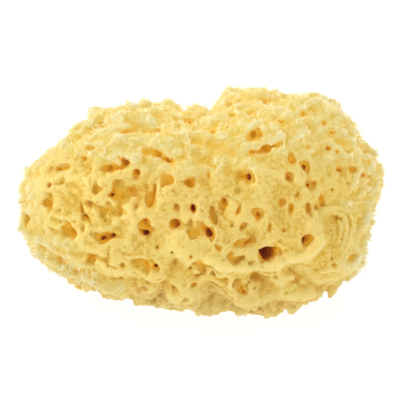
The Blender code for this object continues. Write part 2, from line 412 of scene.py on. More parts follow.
# %% Folds and grooves of the face
# Each is a name, a height, a width, and the places that the line runs through.
FOLDS = (
    ("ledge under the lobe", 2.8, 2.2,
     ((4, -25.6), (12, -27.6), (20, -28.8), (29, -27.6), (36, -25.6), (43, -23.6), (48, -20.4), (50, -16.8))),
    ("groove under the ledge", -2.6, 2.6, ((16, -32), (26, -31), (36, -29), (46, -27), (56, -24))),
    ("hollow of the lobe", -1.6, 2.8, ((50, -23), (54, -19), (56, -14), (55, -9))),
    ("lip over the left hollows", 1.2, 1.2, ((-68, 3.4), (-62, 5), (-56, 5), (-51, 3.4))),
    ("rim of the face, left", 1.6, 2.2, ((-66, 6), (-56, 10), (-45, 8), (-34, 11), (-24, 12), (-14, 13))),
    ("rim of the face, right", 1.3, 2.2, ((-6, 14), (6, 12), (18, 13), (30, 11), (40, 9))),
    ("lower left ridge", 1.4, 1.8, ((-62, -14), (-56, -21), (-50, -27), (-44, -32))),
    ("second lower left ridge", 1.2, 1.6, ((-66, -19), (-58, -27), (-51, -33))),
    ("ridge down the middle of the left", 1.1, 1.5, ((-36, 6), (-30, -1), (-27, -9), (-30, -18))),
    ("ridge under the left hollow", 1.3, 1.1, ((-46, -12.5), (-39, -12), (-30.6, -6.7))),
    ("groove from the left of the top", -1.6, 1.6, ((-24, 20), (-19, 18), (-15, 17))),
    ("belly fold", 0.9, 2.4, ((-20, -20), (-10, -22), (2, -20))),
)
print("folds and grooves", len(FOLDS))

# %% The arcs of the right-hand lobe
LOBE_MIDDLE = np.array((48.0, -16.0))
LOBE_RIDGE = np.array((
    (44.7, -9.9), (47.8, -5.1), (50.7, -4.1), (55.6, -3.1), (60.9, -4.3), (62.7, -7.7),
    (62.9, -11.0), (61.9, -16.1), (60.9, -19.7), (58.0, -23.2), (54.8, -25.6),
))
LOBE_ARCS = 5
LOBE_ARC_STEP = 0.16
LOBE_ARC_HEIGHT = 1.3
LOBE_ARC_FADE = 0.25
LOBE_ARC_WIDTH = 0.8


def lobe_arcs():
    """The lobe's ridge, drawn in towards its middle by one more step each time, and each time lower."""
    for number in range(LOBE_ARCS):
        line = LOBE_MIDDLE + (LOBE_RIDGE - LOBE_MIDDLE) * (1 - LOBE_ARC_STEP * number)
        yield "arc of the lobe", LOBE_ARC_HEIGHT / (1 + LOBE_ARC_FADE * number), LOBE_ARC_WIDTH, line


# %% From lines to relief
FOLD_REACH = 7.0
FOLD_FRONT = (2, 10)


def distance_to_line(right, up, line):
    """The least distance to any of the line's straight stretches."""
    best = np.full(right.shape, FOLD_REACH, np.float32)
    for (start_right, start_up), (end_right, end_up) in zip(line, line[1:]):
        along_right, along_up = end_right - start_right, end_up - start_up
        share = (right - start_right) * along_right + (up - start_up) * along_up
        share = np.clip(share / (along_right ** 2 + along_up ** 2), 0, 1)
        away = np.hypot(right - start_right - share * along_right, up - start_up - share * along_up)
        best = np.minimum(best, away)
    return best


def fold_relief(points):
    """The sum over all folds of height times exp(-(distance / width) squared), on the viewer's side."""
    right, up, near = seen_at(points)
    total = np.zeros(len(points), np.float32)
    for _, height, width, line in (*FOLDS, *lobe_arcs()):
        total += height * np.exp(-(distance_to_line(right, up, line) / width) ** 2)
    return total * ease(near, *FOLD_FRONT)


# %% [markdown]
# The fleece is the torn outer mesh of the sponge. It lies in soft clumps, in rows that run along the sponge,
# with narrow crevices between them, and here and there one is missing and leaves a pocket. A coarse froth
# gives the clumps, a fine one breaks them into crumbs, and slow waves make some rows stand higher than
# others.

# %% Fleece of the top, the back and the ends
CLUMP_BUBBLE = (7.0, 4.8, 4.2)
CLUMP_SLOPE = (0.0, 0.34)
CLUMP_DEPTH = 0.9
CLUMP_STEP = 0.6
LEVEL_CLUMP = 0.4
POCKET_DEPTH = 1.9
POCKET_LOTS = (0.80, 0.92)
CRUMB_BUBBLE = 2.4
CRUMB_SLOPE = (0.0, 0.36)
CRUMB_DEPTH = 0.5
CRUMB_STEP = 0.5
LEVEL_CRUMB = 0.5
ROW_HEIGHT = 0.7
FLEECE_LIFT = 0.6


def crumbs(points):
    """The crumbs' froth: fine bubbles, bent a little."""
    return bent_froth(points, CRUMB_BUBBLE, amount=0.6, lengths=(3.0, 7.0), seed=61)


def fleece_relief(points):
    """Crevices along the walls of both froths. Between the walls each clump and crumb rises by its lot, and
    a clump whose lot is among the highest sinks into a pocket."""
    _, gap, lot, _ = bent_froth(points, CLUMP_BUBBLE, amount=1.5, lengths=(6.0, 16.0), seed=51)
    rise = ease(gap, *CLUMP_SLOPE)
    pocket = ease(lot, *POCKET_LOTS)
    _, fine_gap, fine_lot, _ = crumbs(points)
    fine_rise = ease(fine_gap, *CRUMB_SLOPE)
    top = POCKET_DEPTH * pocket - CLUMP_STEP * (lot - LEVEL_CLUMP) * (1 - pocket)
    clumps = CLUMP_DEPTH * (1 - rise) + rise * top
    small = CRUMB_DEPTH * (1 - fine_rise) - CRUMB_STEP * (fine_lot - LEVEL_CRUMB) * fine_rise
    return clumps + small - ROW_HEIGHT * waves(points, lengths=(5.0, 11.0), count=12, seed=63) - FLEECE_LIFT


# %% The ragged lower edge
RIM_HEIGHTS = (0.8, 3.0, 7.0, 15.0)
RIM_CRUMB = 0.45


def rim_relief(points):
    """Short waves round the lower edge, between the heights at which they begin, are full, fade and end."""
    height = points[:, 2] + MIDDLE_HEIGHT
    begin, full, fade, stop = RIM_HEIGHTS
    lobes = waves(points, lengths=(6.0, 11.0), count=12, seed=65)
    lobes = lobes + RIM_CRUMB * waves(points, lengths=(2.6, 5.0), count=12, seed=66)
    return lobes * ease(height, begin, full) * ease(height, stop, fade)


# %% [markdown]
# Seen from the front, the outline has steps and knobs that are too small for the solid. Each is a swell or a
# dip in one direction from the middle, and it fades out towards the viewer and away.

# %% Steps and knobs of the outline
# Each is degrees anticlockwise from the right-hand end, height, spread in degrees, and how near it is.
KNOBS = (
    (0, 2.2, 6, -4), (24, -3.4, 4, -5), (36, 4.2, 4, -8), (52, -4.0, 6, -8), (76, 2.2, 2.4, -10),
    (83, -6.4, 4, -10), (94, 0.4, 4, -10), (117, -0.2, 5, -8), (127, -7.6, 6, -8), (141, 4.6, 4, -8),
    (153, -2.6, 5, -8), (169, -1.2, 4, -4), (176, 1.4, 5, 0), (187, 1.8, 3, 0), (192, -2.2, 5, 0),
    (200, 1.2, 5, 5), (236, -0.3, 6, 18), (247, -5.0, 4, 22), (280, -4.2, 7, 24), (307, -4.6, 5, 22),
    (325, -8.8, 4, 18), (331, -4.0, 4, 16), (344, -1.6, 5, 10), (352, 1.0, 4, 10),
)
KNOB_DEPTH = 19.0


def knob_relief(points):
    """The sum of height times exp(-(turn / spread) squared - (distance in nearness / depth) squared)."""
    right, up, near = leaning_of(points)
    angle = np.degrees(np.arctan2(up, right))
    total = np.zeros(len(points), np.float32)
    for place, height, spread, nearness in KNOBS:
        turn = (angle - place + 180) % 360 - 180
        total += height * np.exp(-(turn / spread) ** 2 - ((near - nearness) / KNOB_DEPTH) ** 2)
    return total


# %% The relief is taken off the fibre
let_in = -knob_relief(near_skin)
on_face = open_share > 0
in_fleece = open_share < 1
face_cells, fleece_cells = near_skin[on_face], near_skin[in_fleece]
let_in[on_face] += open_share[on_face] * (face_relief(face_cells) - fold_relief(face_cells))
let_in[in_fleece] += (1 - open_share[in_fleece]) * fleece_relief(fleece_cells)
let_in += rim_relief(near_skin)
fibre[in_relief] -= let_in
print("let in by", let_in.min(), "to", let_in.max(), "mm")

# %% [markdown]
# The pores are the mouths of channels. Each is cut as half of a blunt spindle that runs inwards, and the cut
# is rounded where it meets the skin, as worn soft fibre is. A boolean cut would leave sharp rims. Their
# places, widths and heights are read off the photograph, in millimetres from the middle of the outline.

# %% Places of the pores
# Each is right, up, width, height, depth, and lean in degrees anticlockwise.
PORES = (
    (-2.9, -3.3, 2.4, 3.6, 12, 15), (-23.0, -11.4, 5.8, 7.4, 6, 0), (-22.8, -13.6, 3.4, 2.8, 12, 0),
    (-10.2, -9.8, 5.0, 4.8, 9.5, 10), (3.4, -13.2, 6.8, 3.6, 9, -42), (-1.2, -12.6, 6.4, 6.0, 3.5, 0),
    (9.7, -1.2, 3.4, 5.4, 5.6, 5), (23.8, -5.8, 4.2, 4.8, 5.6, 0), (5.7, -7.5, 2.9, 3.7, 5, 0),
    (15.9, -4.4, 1.7, 4.2, 5, -20), (18.1, -10.7, 2.4, 2.5, 7, 0), (28.4, -22.2, 8.2, 7.0, 20, -6),
    (32.6, -21.4, 4.0, 4.4, 5, 0), (18.6, -17.8, 8.8, 3.2, 5, 8), (21.4, -16.6, 2.6, 2.6, 6, 0),
    (15.2, -25.0, 5.2, 3.9, 6, 10), (11.7, -23.5, 1.3, 1.4, 4, 0), (13.0, -22.4, 1.1, 1.3, 4, 0),
    (7.0, -19.4, 1.2, 1.8, 4, 30), (8.2, -20.8, 1.0, 1.2, 4, 0), (23.4, -31.8, 4.8, 3.6, 12, 0),
    (31.2, -32.1, 1.7, 1.7, 5, 0), (16.6, -36.0, 5.6, 4.8, 4, 0), (18.6, -38.6, 2.2, 1.8, 6, 20),
    (15.3, -34.2, 2.4, 2.0, 5, 0), (8.6, -37.0, 4.4, 3.4, 3.5, 0), (10.6, -36.4, 1.4, 1.8, 6, 0),
    (-18.5, -27.6, 2.5, 2.8, 9, 0), (-3.7, -23.6, 1.3, 1.8, 5, 0), (0.4, -29.4, 10.6, 9.0, 3.2, 15),
    (5.6, -30.4, 2.0, 4.6, 3.6, 20), (-24.8, -27.6, 10.4, 7.0, 3.0, 0), (-12.4, -37.0, 5.4, 5.6, 3.2, 0),
    (-24.2, -37.8, 5.4, 3.8, 3.2, 0), (-9.9, -2.6, 2.1, 2.2, 6, 0), (-32.1, -27.4, 1.5, 2.2, 5, 15),
    (-20.9, 1.4, 4.6, 9.6, 3.4, 8), (-18.9, 4.2, 1.5, 4.2, 7, -10), (-27.4, 3.6, 3.6, 4.4, 4, 0),
    (-13.3, 8.4, 5.2, 4.8, 5, 0), (-4.4, 7.2, 5.6, 5.2, 5, 0), (-26.2, 11.4, 3.1, 3.6, 6, 0),
    (17.5, 10.3, 7.8, 4.4, 3.8, -12), (20.6, 10.0, 1.4, 2.8, 6.4, 0), (-13.6, 16.7, 4.6, 2.4, 7, -15),
    (-19.2, 19.6, 10.5, 3.2, 4.5, -20), (-30.7, 15.5, 2.6, 2.2, 6, -15), (3.7, 10.3, 1.0, 3.0, 5, 0),
    (-3.9, -10.7, 1.2, 3.6, 5, -8), (34.0, -0.8, 2.8, 2.8, 3.5, 0), (28.8, -11.3, 1.2, 3.6, 4, -8),
    (34.6, -12.7, 1.1, 1.1, 5, 0), (1.0, -4.4, 1.2, 0.9, 5, 0), (4.9, -4.9, 1.1, 3.2, 6, -10),
    (13.2, -10.7, 1.0, 1.0, 5, 0), (-11.5, -21.6, 1.0, 1.0, 5, 0), (-17.7, -19.6, 1.2, 0.9, 5, 0),
    (-26.5, -2.9, 1.0, 1.2, 5, 0), (-54.3, -13.0, 6.8, 6.0, 6.2, -20), (-39.8, -15.6, 7.6, 3.6, 6, 10),
    (-36.0, -14.3, 1.8, 1.8, 7, 0), (-45.0, -23.6, 4.6, 3.2, 8, -15), (-40.8, -24.8, 6.4, 2.6, 3, -10),
    (-63.0, -0.8, 5.8, 6.4, 4.5, 20), (-48.9, -3.4, 1.3, 4.8, 8, 8), (-46.6, -7.4, 1.2, 3.6, 6, 38),
    (-45.5, -1.7, 1.9, 1.5, 6, -20), (-38.0, -4.6, 12.6, 5.6, 2.8, 0), (-33.0, 2.6, 6.2, 9.0, 3.0, 18),
    (-36.6, 2.2, 3.0, 1.8, 6, 0), (-43.5, 4.5, 3.8, 4.2, 4, 0), (-57.2, -24.9, 4.4, 4.4, 4, 0),
    (-50.9, -29.6, 3.2, 2.4, 4, 0), (-47.7, -33.3, 3.0, 2.0, 4, 0), (-5.7, -42.2, 3.6, 3.2, 3.5, 0),
    (9.8, -33.6, 4.6, 3.2, 4.5, 10), (3.0, -39.0, 3.8, 2.6, 4, 0), (-2.4, -35.0, 3.0, 2.2, 4, 0),
    (12.5, -41.0, 3.2, 2.2, 4, 10), (-71.6, -8.0, 4.0, 4.0, 4, 0), (44.9, -16.1, 5.2, 4.6, 6, 15),
    (43.2, -17.0, 2.4, 3.0, 8, 0), (37.8, -3.7, 1.8, 3.2, 5, -22), (45.2, -3.7, 3.0, 6.6, 5, 12),
    (50.4, 0.0, 2.5, 4.0, 5, 15), (47.6, -3.2, 1.2, 1.1, 6, 0), (40.2, 2.1, 0.9, 3.0, 6, -38),
    (63.2, -23.7, 4.4, 5.2, 4, 0), (56.4, -7.4, 1.8, 1.7, 5, 0), (49.6, -29.5, 4.0, 2.0, 7, 12),
    (52.0, -33.2, 4.2, 2.3, 7, 28), (44.1, -35.6, 5.6, 1.9, 6, 14), (40.5, -33.7, 5.2, 2.4, 5, 22),
    (27.6, -35.8, 3.2, 1.6, 5, 15), (55.7, -26.9, 1.8, 2.4, 6, 0), (37.3, -29.3, 1.2, 1.5, 5, 0),
    (32.1, -42.1, 1.8, 1.8, 6, 0), (22.6, 27.3, 6.6, 5.6, 4.4, 0), (27.4, 21.0, 4.6, 4.4, 5, 20),
    (31.5, 22.7, 3.8, 2.0, 4, 10), (22.1, 20.0, 4.0, 1.9, 6, 0), (38.1, 16.8, 3.6, 4.4, 5, 0),
    (43.4, 14.4, 3.6, 4.4, 6.2, 0), (36.8, 9.5, 3.0, 4.4, 5.4, 12), (53.1, 21.5, 2.9, 2.2, 5.6, -20),
    (56.8, 19.9, 1.4, 1.5, 6, 0), (41.8, 24.7, 3.0, 1.1, 6, 35), (43.1, 35.7, 2.8, 3.2, 4.4, 0),
    (12.1, 40.0, 3.0, 5.0, 6, 0), (13.6, 35.2, 3.2, 2.4, 6, 0), (26.8, 40.4, 3.6, 3.4, 5, 0),
    (47.3, 41.5, 4.0, 3.0, 5, 0), (63.5, 12.5, 3.6, 2.6, 7, -20), (67.8, 10.4, 3.0, 2.4, 6, -20),
    (57.8, 12.5, 3.2, 2.4, 6, 0), (45.2, 6.3, 3.2, 3.0, 6, 0), (47.5, 6.8, 1.0, 1.6, 7, 0),
    (54.7, 4.4, 1.3, 1.3, 6, 0), (51.3, 31.7, 2.4, 2.2, 6, 0), (55.2, 27.8, 3.0, 1.2, 6, 0),
    (33.6, 32.5, 3.4, 2.0, 5, 0), (-28.7, 28.6, 9.0, 2.4, 5, 5), (-17.7, 28.8, 3.6, 2.4, 5, 0),
    (-1.6, 24.8, 5.0, 3.6, 4, 0), (-32.0, 17.0, 4.6, 2.4, 6, -15), (5.5, 28.4, 3.0, 2.2, 6, 0),
    (-5.9, 32.5, 5.0, 2.0, 5, 0), (-22.1, 38.4, 4.4, 2.8, 5, 0), (-36.6, 12.9, 9.0, 2.2, 5, 8),
    (-58.6, 13.0, 9.0, 2.8, 6, 6), (-54.6, 14.4, 1.4, 1.4, 6, 0), (-47.5, 16.9, 2.2, 2.0, 5.6, 60),
    (-38.3, 13.6, 6.6, 2.6, 5, 8), (-44.6, 35.3, 7.2, 2.2, 4, 10), (-45.6, 21.6, 5.4, 2.4, 5, 0),
    (-62.0, 6.0, 2.0, 2.4, 5, 20),
)
print("pores seen from the front", len(PORES))

# %% Where a line of sight meets the skin
HALVINGS = 30


def skin_seen(right, up):
    """Where the line of sight through this place of the outline meets the skin, by halving a stretch."""
    low, high = 0.0, max(OUTLINE)
    for _ in range(HALVINGS):
        near = (low + high) / 2
        towards = 1 - near / VIEW_DISTANCE
        place = frame_of(right * towards, up * towards, near)
        distance = np.linalg.norm(place)
        if distance < body_radius(place / distance):
            low = near
        else:
            high = near
    return place


# %% One pore
RIM_ROUNDING = 1.5
MOUTH_WANDER = 0.16
ROOM_ROUND_A_PORE = 2


def across_and_upwards(inwards, lean):
    """Two directions square to inwards, the first level, both turned by the lean."""
    across = np.cross(inwards, (0, 0, 1.0))
    across /= np.linalg.norm(across)
    upwards = np.cross(across, inwards)
    turn = math.radians(lean)
    return (
        across * math.cos(turn) + upwards * math.sin(turn),
        upwards * math.cos(turn) - across * math.sin(turn),
    )


def block_around(place, reach):
    """The slices of the block of cells that lie within reach of a place."""
    slices = []
    for axis, centre in zip(axes, place):
        first, last = np.searchsorted(axis, (centre - reach, centre + reach))
        slices.append(slice(max(first, 0), max(last, 1)))
    return tuple(slices)


def cut_pore(place, inwards, width, height, depth, lean):
    """Half a spindle: (across / half width)^2 + (up / half height)^2 + (inwards / depth)^2 is 1 on its wall.
    Outside the skin its mouth runs on as a tube. Where it nears the skin the two are rounded into each
    other."""
    across, upwards = across_and_upwards(inwards, lean)
    here = block_around(place, max(width, height, depth) + RIM_ROUNDING + ROOM_ROUND_A_PORE)
    offset = cell_places[here] - np.asarray(place, np.float32)
    across_share = offset @ across / (width / 2)
    up_share = offset @ upwards / (height / 2)
    in_share = np.clip(offset @ inwards, 0, None) / depth
    share = np.sqrt(across_share ** 2 + up_share ** 2 + in_share ** 2)
    share = share * (1 + MOUTH_WANDER * waves(cell_places[here], lengths=(2.5, 6.0), count=6, seed=71))
    wall = ((share - 1) * min(width, height) / 2).astype(np.float32)
    to_pore[here] = np.minimum(to_pore[here], wall)
    fibre[here] = smaller_of(fibre[here], wall, RIM_ROUNDING)


# %% [markdown]
# A channel could run straight in from the skin, or along the line of sight. Straight in, a pore near the
# edge of the face would show only its wall. So each leans most of the way towards the line of sight, and
# shows its depth.

# %% All the pores of the front
SIGHT_SHARE = 4.0

for right, up, width, height, depth, lean in PORES:
    place = skin_seen(right, up)
    sight = (place - viewer) / np.linalg.norm(place - viewer)
    inwards = SIGHT_SHARE * sight - place / np.linalg.norm(place)
    cut_pore(place, inwards / np.linalg.norm(inwards), width, height, depth, lean)
print("cells left open by the pores", int((to_pore < 0).sum()))

# %% [markdown]
# The back, the ends and the top have outlets too. They are spread evenly with a golden-angle spiral, because
# no photograph shows them, and they are the outlets that the solid has.

# %% Outlets that the photograph doesn't show
SPIRAL_STEPS = 84
FACING_AWAY = 0.12
HIDDEN_WIDTHS = (3.6, 8.4)
HIDDEN_SHAPES = (0.75, 1.1)
HIDDEN_DEPTHS = (5.0, 11.0)
SEAT_CLEARANCE = 9.0
OUTLET_SEED = 5


def spiral_direction(step, steps):
    """Height rises evenly from -1 to 1 while the direction turns by the golden angle each step."""
    height = -1 + 2 * (step + 0.5) / steps
    turn = step * math.pi * (3 - math.sqrt(5))
    level = math.sqrt(1 - height**2)
    return np.array([level * math.cos(turn), level * math.sin(turn), height])


outlets = 0
random = np.random.default_rng(OUTLET_SEED)
for step in range(SPIRAL_STEPS):
    direction = spiral_direction(step, SPIRAL_STEPS)
    width = random.uniform(*HIDDEN_WIDTHS)
    height = width * random.uniform(*HIDDEN_SHAPES)
    depth = random.uniform(*HIDDEN_DEPTHS)
    lean = random.uniform(0, 180)
    radius = body_radius(direction)
    faces_away = leaning_of(direction)[2] < -FACING_AWAY
    if faces_away and MIDDLE_HEIGHT + direction[2] * radius > SEAT_CLEARANCE:
        cut_pore(direction * radius, -direction, width, height, depth, lean)
        outlets += 1
print("outlets elsewhere", outlets)

# %% [markdown]
# Fine channels run all through the fibre, but only their mouths show. So they are cut round the large pores,
# where they open as smaller holes in the walls, and close under the skin, where a few break through it.
# Where a froth's scattered points come near, a small bubble is left open.

# %% Fine channels
CHANNEL_BUBBLE = 4.2
CHANNEL_RADIUS = 0.27
CHANNEL_BAND = (0.9, 6.0)
CHANNEL_FIBRE = (-1, 2.5)
CHANNEL_REACH = 2.0
CHANNEL_ROUNDING = 0.5
SKIN_MOUTHS = 2.2
WIDER_FROM = (0.8, 3.0)
NARROWER_FROM = (6.0, 4.5)
NARROWEST = 0.1
LEAST_LOT = 0.7
LOT_RANGE = 0.6


def within(numbers, band):
    """True where a number is above the band's low end and under its high end."""
    return (numbers > band[0]) & (numbers < band[1])


def cut_fine_channels():
    """Bubbles of a share of the froth's size: wide below the skin, and with narrow mouths at it."""
    shown = (to_pore < CHANNEL_REACH) | (skin_depth < SKIN_MOUTHS)
    here = within(skin_depth, CHANNEL_BAND) & within(fibre, CHANNEL_FIBRE) & shown
    places = cell_places[here]
    nearest, _, lot, _ = bent_froth(places, CHANNEL_BUBBLE, amount=0.8, lengths=(6.0, 12.0), seed=81)
    deep = ease(skin_depth[here], *WIDER_FROM) * ease(skin_depth[here], *NARROWER_FROM)
    reach = CHANNEL_RADIUS * (NARROWEST + (1 - NARROWEST) * deep) * (LEAST_LOT + LOT_RANGE * lot)
    fibre[here] = smaller_of(fibre[here], (nearest - reach) * CHANNEL_BUBBLE, CHANNEL_ROUNDING)


cut_fine_channels()
fibre = np.minimum(fibre, cell_places[..., 2] + MIDDLE_HEIGHT)
print("share of the block that is fibre", float((fibre > 0).mean()))

# %% [markdown]
# Now the surface is drawn where the number is nought. Every small cube of eight neighbouring cells that has
# both fibre and open cells gets one point, at the mean of the places where the number crosses nought along
# its edges. Where two neighbouring cells differ, the four cubes round the line between them are joined by a
# face. This is known as surface nets, and it gives even, smooth faces with no slivers.

# %% Surface nets
EDGES = [(corner, axis) for corner in np.ndindex(2, 2, 2) for axis in range(3) if corner[axis] == 0]


def corner_block(array, corner):
    """The array of all cubes' values at one of their eight corners."""
    return array[tuple(slice(c, array.shape[i] - 1 + c) for i, c in enumerate(corner))]


def surface_of(numbers):
    """Points in cells, and four-sided faces that point outwards, where the numbers cross nought."""
    inside = numbers > 0
    count = sum(corner_block(inside, corner).astype(np.int8) for corner in np.ndindex(2, 2, 2))
    cubes = np.argwhere((count > 0) & (count < 8))
    number_of = np.full(count.shape, -1, np.int32)
    number_of[tuple(cubes.T)] = np.arange(len(cubes))
    total = np.zeros((len(cubes), 3))
    crossings = np.zeros(len(cubes))
    for corner, axis in EDGES:
        other = tuple(c + (i == axis) for i, c in enumerate(corner))
        first = numbers[tuple((cubes + corner).T)]
        second = numbers[tuple((cubes + other).T)]
        crossed = (first > 0) != (second > 0)
        share = np.where(crossed, first / np.where(crossed, first - second, 1), 0)
        place = np.array(corner, float) + np.outer(share, np.eye(3)[axis])
        total += np.where(crossed[:, None], place, 0)
        crossings += crossed
    points = cubes + total / crossings[:, None]
    faces = []
    for axis in range(3):
        u, v = (axis + 1) % 3, (axis + 2) % 3
        first = np.moveaxis(inside, axis, 0)[:-1]
        second = np.moveaxis(inside, axis, 0)[1:]
        changed = np.moveaxis(first != second, 0, axis)
        starts = np.argwhere(changed)
        starts = starts[(starts[:, u] > 0) & (starts[:, v] > 0)]
        starts = starts[(starts[:, u] < count.shape[u]) & (starts[:, v] < count.shape[v])]
        step_u, step_v = np.eye(3, dtype=int)[u], np.eye(3, dtype=int)[v]
        ring = [starts - step_u - step_v, starts - step_v, starts, starts - step_u]
        quads = np.stack([number_of[tuple(place.T)] for place in ring], axis=1)
        leaving = inside[tuple(starts.T)]
        faces.append(np.where(leaving[:, None], quads, quads[:, ::-1]))
    return points, np.concatenate(faces)


# %% The sponge without loose crumbs
def largest_part(points, faces):
    """Each point takes its neighbours' lowest number until none changes. The commonest number stays."""
    label = np.arange(len(points))
    sides = np.concatenate([faces[:, [i, (i + 1) % 4]] for i in range(4)])
    while True:
        lowest = np.minimum(label[sides[:, 0]], label[sides[:, 1]])
        renewed = label.copy()
        np.minimum.at(renewed, sides[:, 0], lowest)
        np.minimum.at(renewed, sides[:, 1], lowest)
        renewed = renewed[renewed]
        if np.array_equal(renewed, label):
            break
        label = renewed
    kept = label == np.bincount(label).argmax()
    renumbered = np.cumsum(kept) - 1
    return points[kept], renumbered[faces[kept[faces[:, 0]]]]


net_points, net_faces = surface_of(fibre)
print("points and faces of the net", len(net_points), len(net_faces))
net_points, net_faces = largest_part(net_points, net_faces)
net_points = net_points * DETAIL_CELL + np.array([axis[0] for axis in axes]) + middle
print("in one piece", len(net_points), len(net_faces))

# %% [markdown]
# The arrays go into a mesh in a few large steps. It has far more faces than its form needs on the broad
# webs, so its least telling edges are collapsed, down to a budget that a piece of this kind may have.

# %% From arrays to a mesh, thinned to its budget
BODY_TRIANGLES = 196_000


def mesh_from(name, points, faces):
    """A smooth mesh from arrays: points in millimetres, and faces that all have as many corners."""
    mesh = bpy.data.meshes.new(name)
    corners = faces.shape[1]
    mesh.vertices.add(len(points))
    mesh.vertices.foreach_set("co", (points * METRES).astype(np.float32).ravel())
    mesh.loops.add(faces.size)
    mesh.loops.foreach_set("vertex_index", faces.astype(np.int32).ravel())
    mesh.polygons.add(len(faces))
    mesh.polygons.foreach_set("loop_start", np.arange(0, faces.size, corners, dtype=np.int32))
    mesh.update(calc_edges=True)
    mesh.validate()
    mesh.shade_smooth()
    return mesh


def placed(name, data):
    """A new object in the scene, at the origin, that holds a mesh, a light or a camera."""
    thing = bpy.data.objects.new(name, data)
    bpy.context.scene.collection.objects.link(thing)
    return thing


def new_piece(name, mesh):
    """A piece that rides on the root body and takes the sponge's finish."""
    piece = placed(name, mesh)
    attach(piece, "root")
    return piece


def thinned(mesh, triangles):
    """The mesh after its least telling edges are collapsed, down to the number of triangles."""
    scratch = placed("scratch", mesh)
    thin = scratch.modifiers.new("thin", "DECIMATE")
    thin.ratio = min(1, triangles / (2 * len(mesh.polygons)))
    thinner = bpy.data.meshes.new_from_object(scratch.evaluated_get(bpy.context.evaluated_depsgraph_get()))
    bpy.data.objects.remove(scratch)
    thinner.shade_smooth()
    return thinner


body_mesh = thinned(mesh_from("sponge_net", net_points, net_faces), BODY_TRIANGLES)
body_mesh.name = "honeycomb_body"
sponge = new_piece("honeycomb_body", body_mesh)
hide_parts("sponge")
print("faces of the body", len(body_mesh.polygons))

# %% [markdown]
# The finish is dull and soft, and light soaks a few millimetres into it. Its colour has the light and shade
# of
# how shut in a place is painted into it: a painted highlight of pale cream on the ridges, and in the channels
# painted shade with the orange of light that has passed through so much fibre, down to brown at their
# deepest.
# So each point of the mesh carries the share of its surroundings that is fibre, near and far, and the painted
# shade is read from that.

# %% How full of fibre the surroundings are
NEAR_REACH = 1.8
FAR_REACH = 5.0
ALMOST_NOUGHT = 1e-9


def box_mean(array, cells):
    """The mean over a box of 2 * cells + 1 along each axis in turn, from running sums."""
    for axis in range(3):
        padding = [(cells + 1, cells) if i == axis else (0, 0) for i in range(3)]
        sums = np.cumsum(np.pad(array, padding, mode="edge"), axis=axis, dtype=np.float64)
        long = array.shape[axis]
        upper = np.take(sums, range(2 * cells + 1, 2 * cells + 1 + long), axis=axis)
        lower = np.take(sums, range(long), axis=axis)
        array = ((upper - lower) / (2 * cells + 1)).astype(np.float32)
    return array


def sampled(array, places):
    """The array at places in millimetres from the origin, each from the cell that it lies nearest to."""
    cells = (places - middle - [axis[0] for axis in axes]) / DETAIL_CELL
    cells = np.clip(np.rint(cells).astype(int), 0, np.array(array.shape) - 1)
    return array[tuple(cells.T)]


full = (fibre > 0).astype(np.float32)
fullness_near = box_mean(full, round(NEAR_REACH / DETAIL_CELL))
fullness_far = box_mean(full, round(FAR_REACH / DETAIL_CELL))
print("most of the surroundings that is fibre", fullness_near.max(), fullness_far.max())


# %% What each point of the mesh carries
def points_of(mesh):
    """The mesh's points in millimetres."""
    flat = np.empty(3 * len(mesh.vertices), np.float32)
    mesh.vertices.foreach_get("co", flat)
    return flat.reshape(-1, 3) / METRES


def unit(vectors):
    """Vectors of length 1 in the same directions."""
    return vectors / (np.linalg.norm(vectors, axis=-1, keepdims=True) + ALMOST_NOUGHT)


def shares_of(places):
    """How shut in each place is near by and over a wider reach, its depth under the skin with its steps and
    grooves, the face's share, and the share of the sky that the skin there is turned to."""
    inner = places - middle
    open_face = openness(inner)
    grooves = np.minimum(fold_relief(inner), 0)
    return {
        "near": sampled(fullness_near, places),
        "far": sampled(fullness_far, places),
        "depth": sampled(skin_depth, places) + knob_relief(inner) + open_face * grooves,
        "open": open_face,
        "sky": 0.5 + 0.5 * unit(inner)[:, 2],
    }


def carry(mesh, values):
    """Each array of values becomes an attribute of the mesh's points."""
    for name, value in values.items():
        mesh.attributes.new(name, "FLOAT", "POINT").data.foreach_set("value", value.astype(np.float32))


body_shares = shares_of(points_of(body_mesh))
carry(body_mesh, body_shares)
for name, value in body_shares.items():
    print(name, np.percentile(value, (1, 10, 50, 90, 99)).round(2))

# %% [markdown]
# The fleece ends in fine tufts, which is where a living sponge's outer mesh tore. Each fibre is a curved
# spike with three sides. The fibres of a crumb lean towards its middle, and those near the middle are the
# longest, so crumbs end in tufts. They grow only where a place stands out: where the fibre round it doesn't
# shut it in. The fibres of a piece are worked out together, as arrays with one row a fibre, and joined into
# one mesh.

# %% The form of a fibre
FIBRE_RINGS = (0.0, 0.45, 0.8)
FIBRE_SIDES = 3
FIBRE_TAPER = 0.34
ASIDE = 0.01


def spike_faces():
    """A fibre's faces as numbers of its corners: its root, two a side between rings, and its tip."""
    tip = FIBRE_SIDES * len(FIBRE_RINGS)
    faces = [(2, 1, 0)]
    for start in range(0, tip - FIBRE_SIDES, FIBRE_SIDES):
        for side in range(FIBRE_SIDES):
            low, low_beside = start + side, start + (side + 1) % FIBRE_SIDES
            high, high_beside = low + FIBRE_SIDES, low_beside + FIBRE_SIDES
            faces += [(low, low_beside, high_beside), (low, high_beside, high)]
    last = tip - FIBRE_SIDES
    faces += [(last + side, last + (side + 1) % FIBRE_SIDES, tip) for side in range(FIBRE_SIDES)]
    return np.array(faces)


